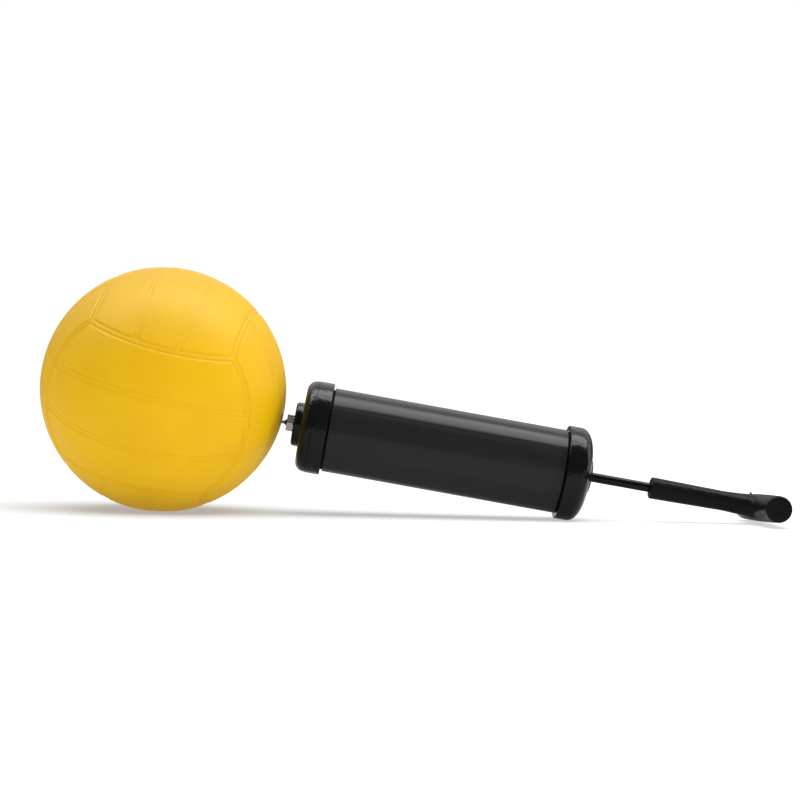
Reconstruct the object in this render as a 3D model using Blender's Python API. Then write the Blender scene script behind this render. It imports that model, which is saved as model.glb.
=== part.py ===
"""A mini volleyball with a T-handle hand pump, the pump's needle still pushed into the ball's valve.

Metres, +Z up, floor at z = 0. The pump lies along +X, from the ball to the handle. It leans on two
things: the needle holds its front end up in the ball, and the rim of its rear cap lies on the floor.

Pump parts are modelled in the pump's own frame, whose +X is the pump's axis and whose origin is the
outer face of the front cap. A "station" is a position along that axis.
"""

import math

import bmesh
import bpy
import numpy as np
from mathutils import Matrix, Vector

# ---------------------------------------------------------------- driving dimensions, metres

GAP = 0.0003  # left between pieces that touch, and round a pin in its hole
RUNNING_GAP = 0.0004  # left all round a piece that slides in the barrel

# Ball
BALL_DIAMETER = 0.127  # a 5 inch mini ball
BALL_FLAT = 0.0005  # how far its own weight flattens the underside
COVER_WALL = 0.0025
BLADDER_WALL = 0.0012
SEAM_WIDTH = 0.0048  # a seam is two parallel grooves in this width
SEAM_DEPTH = 0.0006
RIB_DROP = 0.0002  # the rib between the two grooves lies this much below the panels
STRIP_TAPER = 0.37  # how much wider a middle strip is at its middle than at its ends
STRIP_SHARE = 0.259  # half width of a middle strip, as a share of its panel's half width
PANEL_LEAN = math.radians(16.8)  # turn of the panels about the valve
FLOOR_CUT = 0.02  # thickness of the block that cuts the underside flat

# Ball valve
NOSE_RADIUS = 0.0045
NOSE_LENGTH = 0.016
NOSE_RECESS = 0.0002
FLANGE_RADIUS = 0.0075
FLANGE_DEPTH = 0.0070  # underside of the inner flange, below the ball's skin
PLUG_RADIUS = 0.0027
PLUG_LENGTH = 0.0125
PLUG_RECESS = 0.0009
PLUG_ROUND = 0.0006

# Where the needle enters the ball, seen along the pump's axis from the ball's centre
NEEDLE_BELOW_CENTRE = 0.00545
NEEDLE_BESIDE_CENTRE = 0.0045
NEEDLE_SHOWING = 0.0028  # bare needle between its base and the ball

# Needle
NEEDLE_RADIUS = 0.0010
NEEDLE_BORE = 0.00055
NEEDLE_IN_BALL = 0.0312
NEEDLE_IN_BASE = 0.0078  # tube held inside the base
PORT_RADIUS = 0.0004
PORT_FROM_TIP = 0.0035
BASE_ACROSS_FLATS = 0.0084
BASE_LENGTH = 0.0036
BASE_CHAMFER = 0.0005
BASE_NECK_RADIUS = 0.0021
BASE_NECK_LENGTH = 0.0010
SHANK_RADIUS = 0.0033
SHANK_LENGTH = 0.0062
WASHER_THICKNESS = 0.0008
WASHER_RADIUS = 0.0052

# Front cap
SPOUT_RADIUS = 0.0114
SPOUT_LENGTH = 0.0041
SPOUT_ROUND = 0.0014
SPOUT_HOLE = 0.0055
FRONT_CAP_PROUD = 0.0021  # how far the cap stands out from the barrel
FRONT_CAP_ROUND = 0.0050
FRONT_CAP_LENGTH = 0.0134
FRONT_PLATE = 0.0035
PARTING_STEP = 0.00015
INSERT_RECESS = 0.0013  # the insert's front face, below the mouth of the spout
INSERT_FLANGE_RADIUS = 0.0075
INSERT_FLANGE = 0.0012
GASKET_THICKNESS = 0.0012

# Barrel
BARREL_RADIUS = 0.02185
BARREL_WALL = 0.0020
BARREL_SHOWING = 0.1241  # between the two caps
NECK_DEPTH = 0.0009  # the barrel's ends are turned down by this much, and the caps go over them
NECK_SHOWING = 0.0009  # of each neck, a dark groove beside the cap
MOUTH_CHAMFER = 0.0007
RIM_ROUND = 0.0005

# Rear cap and rod guide
REAR_CAP_PROUD = 0.0026
REAR_RIM_LENGTH = 0.0060  # straight part, before the dome
REAR_DOME_HEIGHT = 0.0080
REAR_DOME_FLAT = 0.00845  # radius of the flat top of the dome
REAR_CAP_WALL = 0.0024
REAR_SEAT = 0.0048  # depth of the barrel in the cap
GUIDE_FLANGE_RADIUS = 0.0087
GUIDE_FLANGE = 0.0010
GUIDE_SLEEVE_RADIUS = 0.0052
GUIDE_LENGTH = 0.0100

# Rod and piston
ROD_RADIUS = 0.0025
SPIGOT_RADIUS = 0.0020
ROD_IN_HANDLE = 0.0220
ROD_TIP_CLEARANCE = 0.0010  # between the rod's front end and the insert, handle pushed right in
HANDLE_OUT = 0.0314  # how far the handle stands pulled out
NUT_ACROSS_FLATS = 0.0070
NUT_THICKNESS = 0.0032
ROD_WASHER_RADIUS = 0.0045
ROD_WASHER_THICKNESS = 0.0008
PISTON_LENGTH = 0.0118
PISTON_FLANGE = 0.0025
PISTON_RIM_CLEARANCE = 0.0010
PISTON_HUB_RADIUS = 0.0080
RING_SECTION_RADIUS = 0.0017
RING_FLOAT = 0.0006  # the ring's travel in its groove, which opens and shuts the air path
NOTCH_COUNT = 6
NOTCH_WIDTH = 0.0032
NOTCH_DEPTH = 0.0012  # below the floor of the groove

# Handle
STEM_END_RADIUS = 0.0057
STEM_RADIUS = 0.0052  # where it starts to spread into the grip
STEM_ROUND = 0.0010
STEM_TO_GRIP = 0.0603  # from the stem's end to the middle of the grip
GRIP_LENGTH = 0.0750
GRIP_RADIUS = 0.0072
GRIP_END_RADIUS = 0.0068
GRIP_END_ROUND = 0.0014
FLARE_LENGTH = 0.0240
FLARE_HALF_WIDTH = 0.0215
FLARE_CURVE = 2.0  # how late the stem widens: higher is later
FLARE_THICKENING = 1.5  # how late it thickens
HANDLE_TURN = math.radians(-2.0)  # the grip isn't quite level

# Facets
ROUND = 36
PISTON_ROUND = 30
SMALL_ROUND = 24
NEEDLE_ROUND = 16
PORT_ROUND = 12
BALL_CELLS = 3  # between two seams
BALL_RINGS = 12  # of the two inner spheres
SEAM_FACETS = 4  # across a seam's band
FLARE_SECTIONS = 8
SHARP_EDGE = math.radians(35)  # edges sharper than this aren't shaded smooth

# ---------------------------------------------------------------- sizes worked out from them

FRONT_CAP_RADIUS = BARREL_RADIUS + FRONT_CAP_PROUD
REAR_CAP_RADIUS = BARREL_RADIUS + REAR_CAP_PROUD

BALL_RADIUS = BALL_DIAMETER / 2
BLADDER_RADIUS = BALL_RADIUS - COVER_WALL - GAP
BLADDER_INSIDE = BLADDER_RADIUS - BLADDER_WALL
NEEDLE_OFF_CENTRE = math.hypot(NEEDLE_BELOW_CENTRE, NEEDLE_BESIDE_CENTRE)

BASE_BACK = -SPOUT_LENGTH - GAP / 2
BASE_FRONT = BASE_BACK - BASE_LENGTH
ENTRY = BASE_FRONT - NEEDLE_SHOWING
BALL_FOOT = ENTRY - math.sqrt(BALL_RADIUS**2 - NEEDLE_OFF_CENTRE**2)
NEEDLE_TIP = ENTRY - NEEDLE_IN_BALL
WASHER_FRONT = -SPOUT_LENGTH + GAP / 2

INSERT_FRONT = -SPOUT_LENGTH + INSERT_RECESS
INSERT_BORE = SHANK_RADIUS + GAP
INSERT_BACK = FRONT_PLATE + GAP + INSERT_FLANGE
GASKET_FRONT = FRONT_PLATE + GAP
BARREL_FRONT = GASKET_FRONT + GASKET_THICKNESS + GAP
BARREL_BORE = BARREL_RADIUS - BARREL_WALL
NECK_RADIUS = BARREL_RADIUS - NECK_DEPTH
CAP_BORE = NECK_RADIUS + GAP

REAR_RIM = FRONT_CAP_LENGTH + BARREL_SHOWING
REAR_DOME = REAR_RIM + REAR_RIM_LENGTH
REAR_FACE = REAR_DOME + REAR_DOME_HEIGHT
BARREL_BACK = REAR_RIM + REAR_SEAT
GUIDE_FRONT = REAR_FACE - GUIDE_LENGTH
GUIDE_BACK = REAR_FACE + GAP + GUIDE_FLANGE

STEM_FRONT = GUIDE_BACK + GAP + HANDLE_OUT
GRIP_STATION = STEM_FRONT + STEM_TO_GRIP
ROD_BACK = STEM_FRONT + ROD_IN_HANDLE
ROD_FRONT = INSERT_BACK + ROD_TIP_CLEARANCE + HANDLE_OUT
NUT_FRONT = ROD_FRONT + 2 * GAP
FRONT_WASHER = NUT_FRONT + NUT_THICKNESS + GAP
PISTON_FRONT = FRONT_WASHER + ROD_WASHER_THICKNESS + GAP
PISTON_BACK = PISTON_FRONT + PISTON_LENGTH
REAR_WASHER = PISTON_BACK + GAP
ROD_SHOULDER = REAR_WASHER + ROD_WASHER_THICKNESS + GAP

RING_RADIUS = BARREL_BORE - RUNNING_GAP - RING_SECTION_RADIUS
GROOVE_RADIUS = RING_RADIUS - RING_SECTION_RADIUS - GAP
GROOVE_FRONT = PISTON_FRONT + PISTON_FLANGE
GROOVE_BACK = GROOVE_FRONT + 2 * RING_SECTION_RADIUS + 2 * GAP + RING_FLOAT
RING_STATION = GROOVE_BACK - GAP - RING_SECTION_RADIUS


def floor_to_cap_axis(slope):
    """Height of the axis at station 0 when the rear cap's rim and dome touch the floor."""
    dome_width = REAR_CAP_RADIUS - REAR_DOME_FLAT
    reach = math.hypot(REAR_DOME_HEIGHT * math.sin(slope), dome_width * math.cos(slope))
    return REAR_DOME * math.sin(slope) + REAR_DOME_FLAT * math.cos(slope) + reach


STEEPEST_LEAN = 40  # degrees, where the search for the slope starts
HALVINGS = 60


def lean_of_pump():
    """The slope at which the needle, at its place in the ball, meets a pump lying on its rear cap."""
    centre_height = BALL_RADIUS - BALL_FLAT
    low, high = 0.0, math.radians(STEEPEST_LEAN)
    for _ in range(HALVINGS):
        slope = (low + high) / 2
        axis_height = floor_to_cap_axis(slope) - BALL_FOOT * math.sin(slope)
        if axis_height + NEEDLE_BELOW_CENTRE * math.cos(slope) < centre_height:
            low = slope
        else:
            high = slope
    return slope


SLOPE = lean_of_pump()


def pump_origin():
    """Station 0 in the world, which puts the whole object's middle over the world's origin."""
    along, down = math.cos(SLOPE), math.sin(SLOPE)
    ball_left = BALL_FOOT * along + NEEDLE_BELOW_CENTRE * down - BALL_RADIUS
    grip_right = GRIP_STATION * along + max(GRIP_RADIUS, GRIP_END_RADIUS)
    return Vector((-(ball_left + grip_right) / 2, -NEEDLE_BESIDE_CENTRE, floor_to_cap_axis(SLOPE)))


# ---------------------------------------------------------------- helpers


def clear_scene():
    for item in list(bpy.data.objects):
        bpy.data.objects.remove(item, do_unlink=True)


def make_material(name, colour, roughness, metallic=0.0):
    material = bpy.data.materials.new(name)
    material.use_nodes = True
    shader = material.node_tree.nodes["Principled BSDF"]
    shader.inputs["Base Color"].default_value = (*colour, 1.0)
    shader.inputs["Roughness"].default_value = roughness
    shader.inputs["Metallic"].default_value = metallic
    return material


def make_empty(name, parent, station=0.0, turn=0.0):
    """An empty on the pump's axis, whose +X is that axis."""
    empty = bpy.data.objects.new(name, None)
    bpy.context.collection.objects.link(empty)
    empty.parent = parent
    empty.location = (station, 0.0, 0.0)
    empty.rotation_euler = (turn, 0.0, 0.0)
    return empty


def finish_mesh(name, mesh_data, parent, material=None, origin=0.0):
    """Turn a bmesh into an object. Stations in it become distances from its origin's station."""
    bmesh.ops.translate(mesh_data, verts=mesh_data.verts, vec=(-origin, 0.0, 0.0))
    bmesh.ops.recalc_face_normals(mesh_data, faces=mesh_data.faces)
    mesh = bpy.data.meshes.new(name)
    mesh_data.to_mesh(mesh)
    mesh_data.free()
    mesh.shade_smooth()
    mesh.set_sharp_from_angle(angle=SHARP_EDGE)
    piece = bpy.data.objects.new(name, mesh)
    bpy.context.collection.objects.link(piece)
    piece.parent = parent
    if material is None:
        piece.hide_render = True
        piece.display_type = "WIRE"
    else:
        mesh.materials.append(material)
    return piece


def turned_mesh(profile, segments):
    """Spin a closed profile of (station, radius) points about the pump's axis."""
    shape = bmesh.new()
    corners = [shape.verts.new((station, 0.0, radius)) for station, radius in profile]
    edges = [shape.edges.new(pair) for pair in zip(corners, corners[1:])]
    if profile[0][1] > 0.0:
        edges.append(shape.edges.new((corners[-1], corners[0])))
    half_facet = math.pi / segments
    turned = Matrix.Rotation(half_facet, 3, "X")
    bmesh.ops.rotate(shape, verts=shape.verts, cent=(0, 0, 0), matrix=turned)
    bmesh.ops.spin(
        shape, geom=corners + edges, cent=(0, 0, 0), axis=(1, 0, 0), angle=2 * math.pi,
        steps=segments, use_merge=True,
    )
    bmesh.ops.remove_doubles(shape, verts=shape.verts, dist=1e-6)
    return shape


def turned(name, profile, parent, material=None, segments=SMALL_ROUND, origin=0.0):
    return finish_mesh(name, turned_mesh(profile, segments), parent, material, origin)


def tube_profile(front, back, inside, outside):
    return [(front, inside), (front, outside), (back, outside), (back, inside)]


def rod_profile(front, back, radius):
    return [(front, 0.0), (front, radius), (back, radius), (back, 0.0)]


def arc(station, radius, reach, start, end, steps, height=None):
    """Points on an arc about (station, radius), by angles in degrees from outward to +X."""
    height = reach if height is None else height
    angles = [math.radians(start + (end - start) * k / steps) for k in range(steps + 1)]
    return [(station + reach * math.sin(a), radius + height * math.cos(a)) for a in angles]


def prism_mesh(front, back, across_flats, sides=6):
    """A solid hexagonal bar about the pump's axis."""
    corner = across_flats / 2 / math.cos(math.pi / sides)
    shape = bmesh.new()
    ring = [
        shape.verts.new((front, corner * math.sin(a), corner * math.cos(a)))
        for a in (2 * math.pi * k / sides for k in range(sides))
    ]
    face = shape.faces.new(ring)
    extruded = bmesh.ops.extrude_face_region(shape, geom=[face])["geom"]
    moved = [item for item in extruded if isinstance(item, bmesh.types.BMVert)]
    bmesh.ops.translate(shape, verts=moved, vec=(back - front, 0.0, 0.0))
    return shape


def sphere(name, radius, parent, material=None):
    """A round ball whose poles lie on the pump's axis."""
    shape = bmesh.new()
    bmesh.ops.create_uvsphere(shape, u_segments=2 * BALL_RINGS, v_segments=BALL_RINGS, radius=radius)
    bmesh.ops.rotate(
        shape, verts=shape.verts, cent=(0, 0, 0), matrix=Matrix.Rotation(math.pi / 2, 3, "Y")
    )
    return finish_mesh(name, shape, parent, material)


def combine(piece, other, operation):
    modifier = piece.modifiers.new(other.name, "BOOLEAN")
    modifier.operation = operation
    modifier.solver = "EXACT"
    modifier.object = other


def cut(piece, *cutters):
    for cutter in cutters:
        combine(piece, cutter, "DIFFERENCE")


# ---------------------------------------------------------------- ball


def panel_point(along, across):
    """A point on the unit sphere in a panel face's own frame: x runs along its strips, y across
    them and z out of the face. Both inputs go from -1 to 1 between the face's edges.

    The face's long edges lie in the planes y = 1/sqrt(3) and y = -1/sqrt(3), and its short edges are
    the long edges of its neighbours. Six such faces of three strips make the 18 panels.
    """
    y = math.sqrt(2 / 3) * math.sin(across * math.pi / 4)
    y *= 1 + STRIP_TAPER * (1 - across**2) * (1 - along**2)
    slice_radius = math.sqrt(1 - y * y)
    end = math.acos(1 / (math.sqrt(3) * slice_radius))
    return Vector((slice_radius * math.sin(along * end), y, slice_radius * math.cos(along * end)))


def panel_lines(cells):
    """Grid lines across a face, with a line on each seam."""
    stops = [-1.0, -STRIP_SHARE, STRIP_SHARE, 1.0]
    lines = [
        low + (high - low) * k / cells
        for low, high in zip(stops, stops[1:])
        for k in range(cells)
    ]
    return lines + [1.0]


def panel_grid(cells):
    """The ball's skin as a grid on six faces. Returns the bmesh and its seam edges."""
    shape = bmesh.new()
    seams = set()
    lines = panel_lines(cells)
    last = len(lines) - 1
    seam_rows = (0, cells, 2 * cells, last)
    for turn in range(3):
        for side in (1, -1):
            grid = []
            for across in lines:
                row = []
                for along in lines:
                    x, y, z = panel_point(along, across)
                    place = np.roll((x * side, y, z * side), turn)
                    row.append(shape.verts.new(BALL_RADIUS * Vector(place)))
                grid.append(row)
            for j in range(last):
                for i in range(last):
                    shape.faces.new((grid[j][i], grid[j][i + 1], grid[j + 1][i + 1], grid[j + 1][i]))
            for j in seam_rows:
                seams.update(shape.edges.get((grid[j][i], grid[j][i + 1])) for i in range(last))
    middles = [(edge.verts[0].co + edge.verts[1].co) / 2 for edge in seams]
    bmesh.ops.remove_doubles(shape, verts=shape.verts, dist=1e-6)
    found = {key(edge): edge for edge in shape.edges}
    return shape, [found[k] for k in {rounded(m) for m in middles}]


def rounded(point):
    return tuple(round(c * 1e5) for c in point)


def key(edge):
    return rounded((edge.verts[0].co + edge.verts[1].co) / 2)


def distance_to_segments(points, starts, ends):
    """Distance from each point to the nearest of some straight segments."""
    runs = ends - starts
    offsets = points[:, None, :] - starts[None, :, :]
    shares = (offsets * runs).sum(2) / (runs * runs).sum(1)
    nearest = offsets - np.clip(shares, 0, 1)[:, :, None] * runs
    return np.sqrt((nearest**2).sum(2)).min(1)


def groove_depth(distance):
    """Two V grooves side by side, a quarter of the seam's width from its middle."""
    quarter = SEAM_WIDTH / 4
    if distance < quarter:
        return RIB_DROP + (SEAM_DEPTH - RIB_DROP) * distance / quarter
    return SEAM_DEPTH * max(0.0, 1 - (distance - quarter) / quarter)


def ball_skin():
    """The ball's outside, solid: panels, with every seam bevelled into a band and grooved twice."""
    shape, seams = panel_grid(BALL_CELLS)
    starts = np.array([edge.verts[0].co for edge in seams])
    ends = np.array([edge.verts[1].co for edge in seams])
    bmesh.ops.bevel(
        shape, geom=seams, offset=SEAM_WIDTH / 2, segments=SEAM_FACETS, profile=0.5, affect="EDGES",
        material=-1,
    )
    points = np.array([vert.co for vert in shape.verts])
    for vert, distance in zip(shape.verts, distance_to_segments(points, starts, ends)):
        vert.co = vert.co.normalized() * (BALL_RADIUS - groove_depth(distance))
    return shape


def ball_frame():
    """The ball's place in the pump's frame, its +X through the valve where the needle enters."""
    centre = Vector((BALL_FOOT, NEEDLE_BESIDE_CENTRE, NEEDLE_BELOW_CENTRE))
    valve = (Vector((ENTRY, 0.0, 0.0)) - centre).normalized()
    upright = (Vector((0, 0, 1)) - valve * valve.z).normalized()
    strips = Matrix.Rotation(PANEL_LEAN, 3, valve) @ upright
    axes = Matrix((valve, strips, valve.cross(strips))).transposed()
    return centre, axes


def valve_hole(name, parent, radius):
    """Cutter through the ball's wall, along the needle."""
    outside = ENTRY + NEEDLE_SHOWING / 2
    inside = ENTRY - NOSE_LENGTH
    return turned(name, rod_profile(inside, outside, radius), parent, origin=ENTRY)


def make_ball(pump, rubber, butyl, valve_rubber):
    entry = make_empty("ball_axis", pump, ENTRY)
    centre, axes = ball_frame()
    middle = make_empty("ball_centre", entry)
    middle.location = centre - Vector((ENTRY, 0.0, 0.0))

    cover = finish_mesh("ball_cover", ball_skin(), middle, rubber)
    cover.rotation_euler = axes.to_euler()
    hollow = sphere("cover_hollow", BALL_RADIUS - COVER_WALL, middle)
    hole = valve_hole("valve_hole", entry, NOSE_RADIUS + GAP)
    cut(cover, hollow, hole, make_floor_block(pump))

    bladder = sphere("ball_bladder", BLADDER_RADIUS, middle, butyl)
    cut(bladder, sphere("bladder_hollow", BLADDER_INSIDE, middle), hole)
    make_valve(entry, middle, valve_rubber)


def make_floor_block(pump):
    """Cutter whose top is the floor, under the ball."""
    shape = bmesh.new()
    bmesh.ops.create_cube(shape, size=1.0)
    bmesh.ops.scale(shape, verts=shape.verts, vec=(BALL_DIAMETER, BALL_DIAMETER, FLOOR_CUT))
    block = finish_mesh("floor_block", shape, None)
    centre = pump.matrix_world @ ball_frame()[0]
    block.location = (centre.x, centre.y, -FLOOR_CUT / 2)
    return block


def make_valve(entry, middle, rubber):
    """A rubber tube bonded into the bladder, and the plug in it that the needle goes through."""
    outside = ENTRY + NEEDLE_SHOWING / 2
    nose = rod_profile(ENTRY - NOSE_LENGTH, outside, NOSE_RADIUS)
    housing = turned("valve_housing", nose, entry, rubber, origin=ENTRY)
    combine(housing, sphere("ball_skin_inside", BALL_RADIUS - NOSE_RECESS, middle), "INTERSECT")
    flange = rod_profile(ENTRY - FLANGE_DEPTH, ENTRY, FLANGE_RADIUS)
    flange = turned("valve_flange", flange, entry, origin=ENTRY)
    combine(flange, sphere("bladder_inside", BLADDER_INSIDE - GAP, middle), "INTERSECT")
    combine(housing, flange, "UNION")
    bore = rod_profile(ENTRY - 2 * NOSE_LENGTH, ENTRY + NEEDLE_SHOWING, PLUG_RADIUS + GAP)
    cut(housing, turned("plug_bore", bore, entry, origin=ENTRY))

    front, back = ENTRY - PLUG_RECESS - PLUG_LENGTH, ENTRY - PLUG_RECESS
    hole = NEEDLE_RADIUS + GAP
    waist = PLUG_RADIUS - PLUG_ROUND
    plug = (
        [(front, hole)]
        + arc(front + PLUG_ROUND, waist, PLUG_ROUND, -90, 0, 2)
        + arc(back - PLUG_ROUND, waist, PLUG_ROUND, 0, 90, 2)
        + [(back, hole)]
    )
    turned("valve_plug", plug, entry, rubber, origin=ENTRY)


# ---------------------------------------------------------------- needle


def make_needle(pump, steel, plated, washer_rubber):
    slide = make_empty("needle_slide", pump, WASHER_FRONT)
    washer = tube_profile(WASHER_FRONT, WASHER_FRONT + WASHER_THICKNESS, SHANK_RADIUS + GAP, WASHER_RADIUS)
    turned("needle_washer", washer, slide, washer_rubber, origin=WASHER_FRONT)

    thread = make_empty("needle_axis", slide, BASE_BACK - WASHER_FRONT)
    make_needle_base(thread, plated)
    make_needle_tube(thread, steel)


def make_needle_base(thread, plated):
    """A chamfered hexagon with a threaded shank behind it and a short neck round the tube."""
    bar = finish_mesh(
        "needle_base", prism_mesh(BASE_FRONT, BASE_BACK, BASE_ACROSS_FLATS), thread, plated, BASE_BACK
    )
    corner = BASE_ACROSS_FLATS / 2 / math.cos(math.pi / 6)
    front = BASE_FRONT
    blank = [
        (front - GAP, 0.0),
        (front - GAP, corner - BASE_CHAMFER - GAP),
        (front + BASE_CHAMFER, corner),
        (BASE_BACK + GAP, corner + GAP),
        (BASE_BACK + GAP, 0.0),
    ]
    combine(bar, turned("base_chamfer", blank, thread, origin=BASE_BACK), "INTERSECT")
    neck_end = front - BASE_NECK_LENGTH
    tail = BASE_BACK + SHANK_LENGTH
    hole = NEEDLE_RADIUS + GAP
    shank = [
        (neck_end, 0.0),
        (neck_end, hole + GAP),
        (front, BASE_NECK_RADIUS),
        (front + BASE_CHAMFER, BASE_NECK_RADIUS),
        (BASE_BACK - BASE_CHAMFER, SHANK_RADIUS),
        (tail - BASE_CHAMFER, SHANK_RADIUS),
        (tail, SHANK_RADIUS - BASE_CHAMFER),
        (tail, 0.0),
    ]
    combine(bar, turned("base_shank", shank, thread, origin=BASE_BACK), "UNION")
    bore = rod_profile(neck_end - BASE_LENGTH, tail + BASE_LENGTH, hole)
    cut(bar, turned("base_bore", bore, thread, origin=BASE_BACK))


def make_needle_tube(thread, steel):
    """A thin tube, open at the pump, with a closed round tip and an air port just behind it."""
    back = BASE_FRONT + NEEDLE_IN_BASE
    tip = NEEDLE_TIP + NEEDLE_RADIUS
    tube = (
        arc(tip, 0.0, NEEDLE_RADIUS, -90, 0, 4)
        + [(back, NEEDLE_RADIUS), (back, NEEDLE_BORE), (tip + NEEDLE_BORE, NEEDLE_BORE)]
        + [(tip, 0.0)]
    )
    tube[0] = (NEEDLE_TIP, 0.0)
    needle = turned("needle_tube", tube, thread, steel, NEEDLE_ROUND, BASE_BACK)
    port = rod_profile(0.0, 2 * NEEDLE_RADIUS, PORT_RADIUS)
    port = turned("needle_port", port, thread, segments=PORT_ROUND)
    port.location = (NEEDLE_TIP + PORT_FROM_TIP - BASE_BACK, 0.0, 0.0)
    port.rotation_euler = (0.0, 0.0, -math.pi / 2)
    cut(needle, port)


# ---------------------------------------------------------------- pump body


def make_front_cap(pump, black):
    """Screw cap with a rounded nose, a spout for the needle and a deep skirt over the barrel."""
    shoulder = FRONT_CAP_RADIUS - PARTING_STEP
    edge = FRONT_CAP_LENGTH
    profile = (
        [(-SPOUT_LENGTH, SPOUT_HOLE)]
        + arc(SPOUT_ROUND - SPOUT_LENGTH, SPOUT_RADIUS - SPOUT_ROUND, SPOUT_ROUND, -90, 0, 3)
        + [(0.0, SPOUT_RADIUS)]
        + arc(FRONT_CAP_ROUND, shoulder - FRONT_CAP_ROUND, FRONT_CAP_ROUND, -90, 0, 5)
        + [(FRONT_CAP_ROUND + 2 * PARTING_STEP, FRONT_CAP_RADIUS)]
        + arc(edge - RIM_ROUND, FRONT_CAP_RADIUS - RIM_ROUND, RIM_ROUND, 0, 90, 2)
        + [(edge, CAP_BORE + MOUTH_CHAMFER), (edge - MOUTH_CHAMFER, CAP_BORE)]
        + [(FRONT_PLATE, CAP_BORE), (FRONT_PLATE, SPOUT_HOLE)]
    )
    turned("front_cap", profile, pump, black, segments=ROUND)


def make_outlet(pump, brass, rubber):
    """The brass thread that holds the needle, and the gasket between cap and barrel."""
    sleeve = SPOUT_HOLE - GAP
    insert = [
        (INSERT_FRONT, INSERT_BORE),
        (INSERT_FRONT, sleeve),
        (FRONT_PLATE + GAP, sleeve),
        (FRONT_PLATE + GAP, INSERT_FLANGE_RADIUS),
        (INSERT_BACK, INSERT_FLANGE_RADIUS),
        (INSERT_BACK, INSERT_BORE),
    ]
    turned("outlet_insert", insert, pump, brass)
    gasket = tube_profile(GASKET_FRONT, GASKET_FRONT + GASKET_THICKNESS, BARREL_BORE, NECK_RADIUS)
    turned("front_gasket", gasket, pump, rubber)


def make_barrel(pump, black):
    """Tube with a turned-down neck at each end for its cap."""
    front = FRONT_CAP_LENGTH + NECK_SHOWING
    back = REAR_RIM - NECK_SHOWING
    profile = [
        (BARREL_FRONT, BARREL_BORE),
        (BARREL_FRONT, NECK_RADIUS),
        (front, NECK_RADIUS),
        (front, BARREL_RADIUS),
        (back, BARREL_RADIUS),
        (back, NECK_RADIUS),
        (BARREL_BACK, NECK_RADIUS),
        (BARREL_BACK, BARREL_BORE),
    ]
    turned("barrel", profile, pump, black, segments=ROUND)


def make_rear_cap(pump, black):
    """Domed screw cap, with the barrel's seat and a boss for the rod guide inside."""
    hole = GUIDE_SLEEVE_RADIUS + GAP
    width = REAR_CAP_RADIUS - REAR_DOME_FLAT
    seat = BARREL_BACK + GAP
    inner_height = REAR_DOME_HEIGHT - REAR_CAP_WALL
    boss = hole + REAR_CAP_WALL
    inner_width = BARREL_BORE - boss
    dome = arc(REAR_DOME, REAR_DOME_FLAT, REAR_DOME_HEIGHT, 0, 90, 6, height=width)
    inside = arc(seat, boss, REAR_DOME + inner_height - seat, 90, 0, 3, height=inner_width)
    profile = (
        [(seat, CAP_BORE), (REAR_RIM + MOUTH_CHAMFER, CAP_BORE), (REAR_RIM, CAP_BORE + MOUTH_CHAMFER)]
        + arc(REAR_RIM + RIM_ROUND, REAR_CAP_RADIUS - RIM_ROUND, RIM_ROUND, -90, 0, 2)
        + dome
        + [(REAR_FACE, hole), (GUIDE_FRONT + GAP, hole), (GUIDE_FRONT + GAP, boss)]
        + inside
    )
    turned("rear_cap", profile, pump, black, segments=ROUND)


def make_rod_guide(pump, black):
    """Flanged bush that the rod runs in."""
    hole = ROD_RADIUS + GAP
    seat = REAR_FACE + GAP
    edge = GUIDE_FLANGE / 2
    profile = (
        [(GUIDE_FRONT, hole), (GUIDE_FRONT, GUIDE_SLEEVE_RADIUS), (seat, GUIDE_SLEEVE_RADIUS)]
        + [(seat, GUIDE_FLANGE_RADIUS)]
        + arc(GUIDE_BACK - edge, GUIDE_FLANGE_RADIUS - edge, edge, 0, 90, 3)
        + [(GUIDE_BACK, hole)]
    )
    turned("rod_guide", profile, pump, black)


# ---------------------------------------------------------------- piston, rod and handle


def make_piston(stroke, plastic, rubber):
    """Moulded spool. Air passes the floating ring through the front flange's notches on the pull."""
    rim = BARREL_BORE - PISTON_RIM_CLEARANCE
    bore = SPIGOT_RADIUS + GAP
    flange_back = GROOVE_BACK + PISTON_FLANGE
    profile = [
        (PISTON_FRONT, bore),
        (PISTON_FRONT, rim),
        (GROOVE_FRONT, rim),
        (GROOVE_FRONT, GROOVE_RADIUS),
        (GROOVE_BACK, GROOVE_RADIUS),
        (GROOVE_BACK, rim),
        (flange_back, rim),
        (flange_back, PISTON_HUB_RADIUS),
        (PISTON_BACK, PISTON_HUB_RADIUS),
        (PISTON_BACK, bore),
    ]
    head = turned("piston_head", profile, stroke, plastic, PISTON_ROUND, PISTON_FRONT)
    notches = bmesh.new()
    low = GROOVE_RADIUS - NOTCH_DEPTH
    high = BARREL_BORE + NOTCH_DEPTH
    length = 2 * (PISTON_FLANGE + RING_SECTION_RADIUS)
    for k in range(NOTCH_COUNT):
        made = bmesh.ops.create_cube(notches, size=1.0)["verts"]
        bmesh.ops.scale(notches, verts=made, vec=(length, NOTCH_WIDTH, high - low))
        bmesh.ops.translate(notches, verts=made, vec=(0.0, 0.0, (low + high) / 2))
        spoke = Matrix.Rotation(2 * math.pi * k / NOTCH_COUNT, 3, "X")
        bmesh.ops.rotate(notches, verts=made, cent=(0, 0, 0), matrix=spoke)
    cut(head, finish_mesh("piston_notches", notches, stroke))

    ring = arc(RING_STATION, RING_RADIUS, RING_SECTION_RADIUS, 0, 315, 7)
    seal = make_empty("seal_axis", stroke, RING_STATION - PISTON_FRONT)
    turned("piston_ring", ring, seal, rubber, PISTON_ROUND, RING_STATION)


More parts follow.
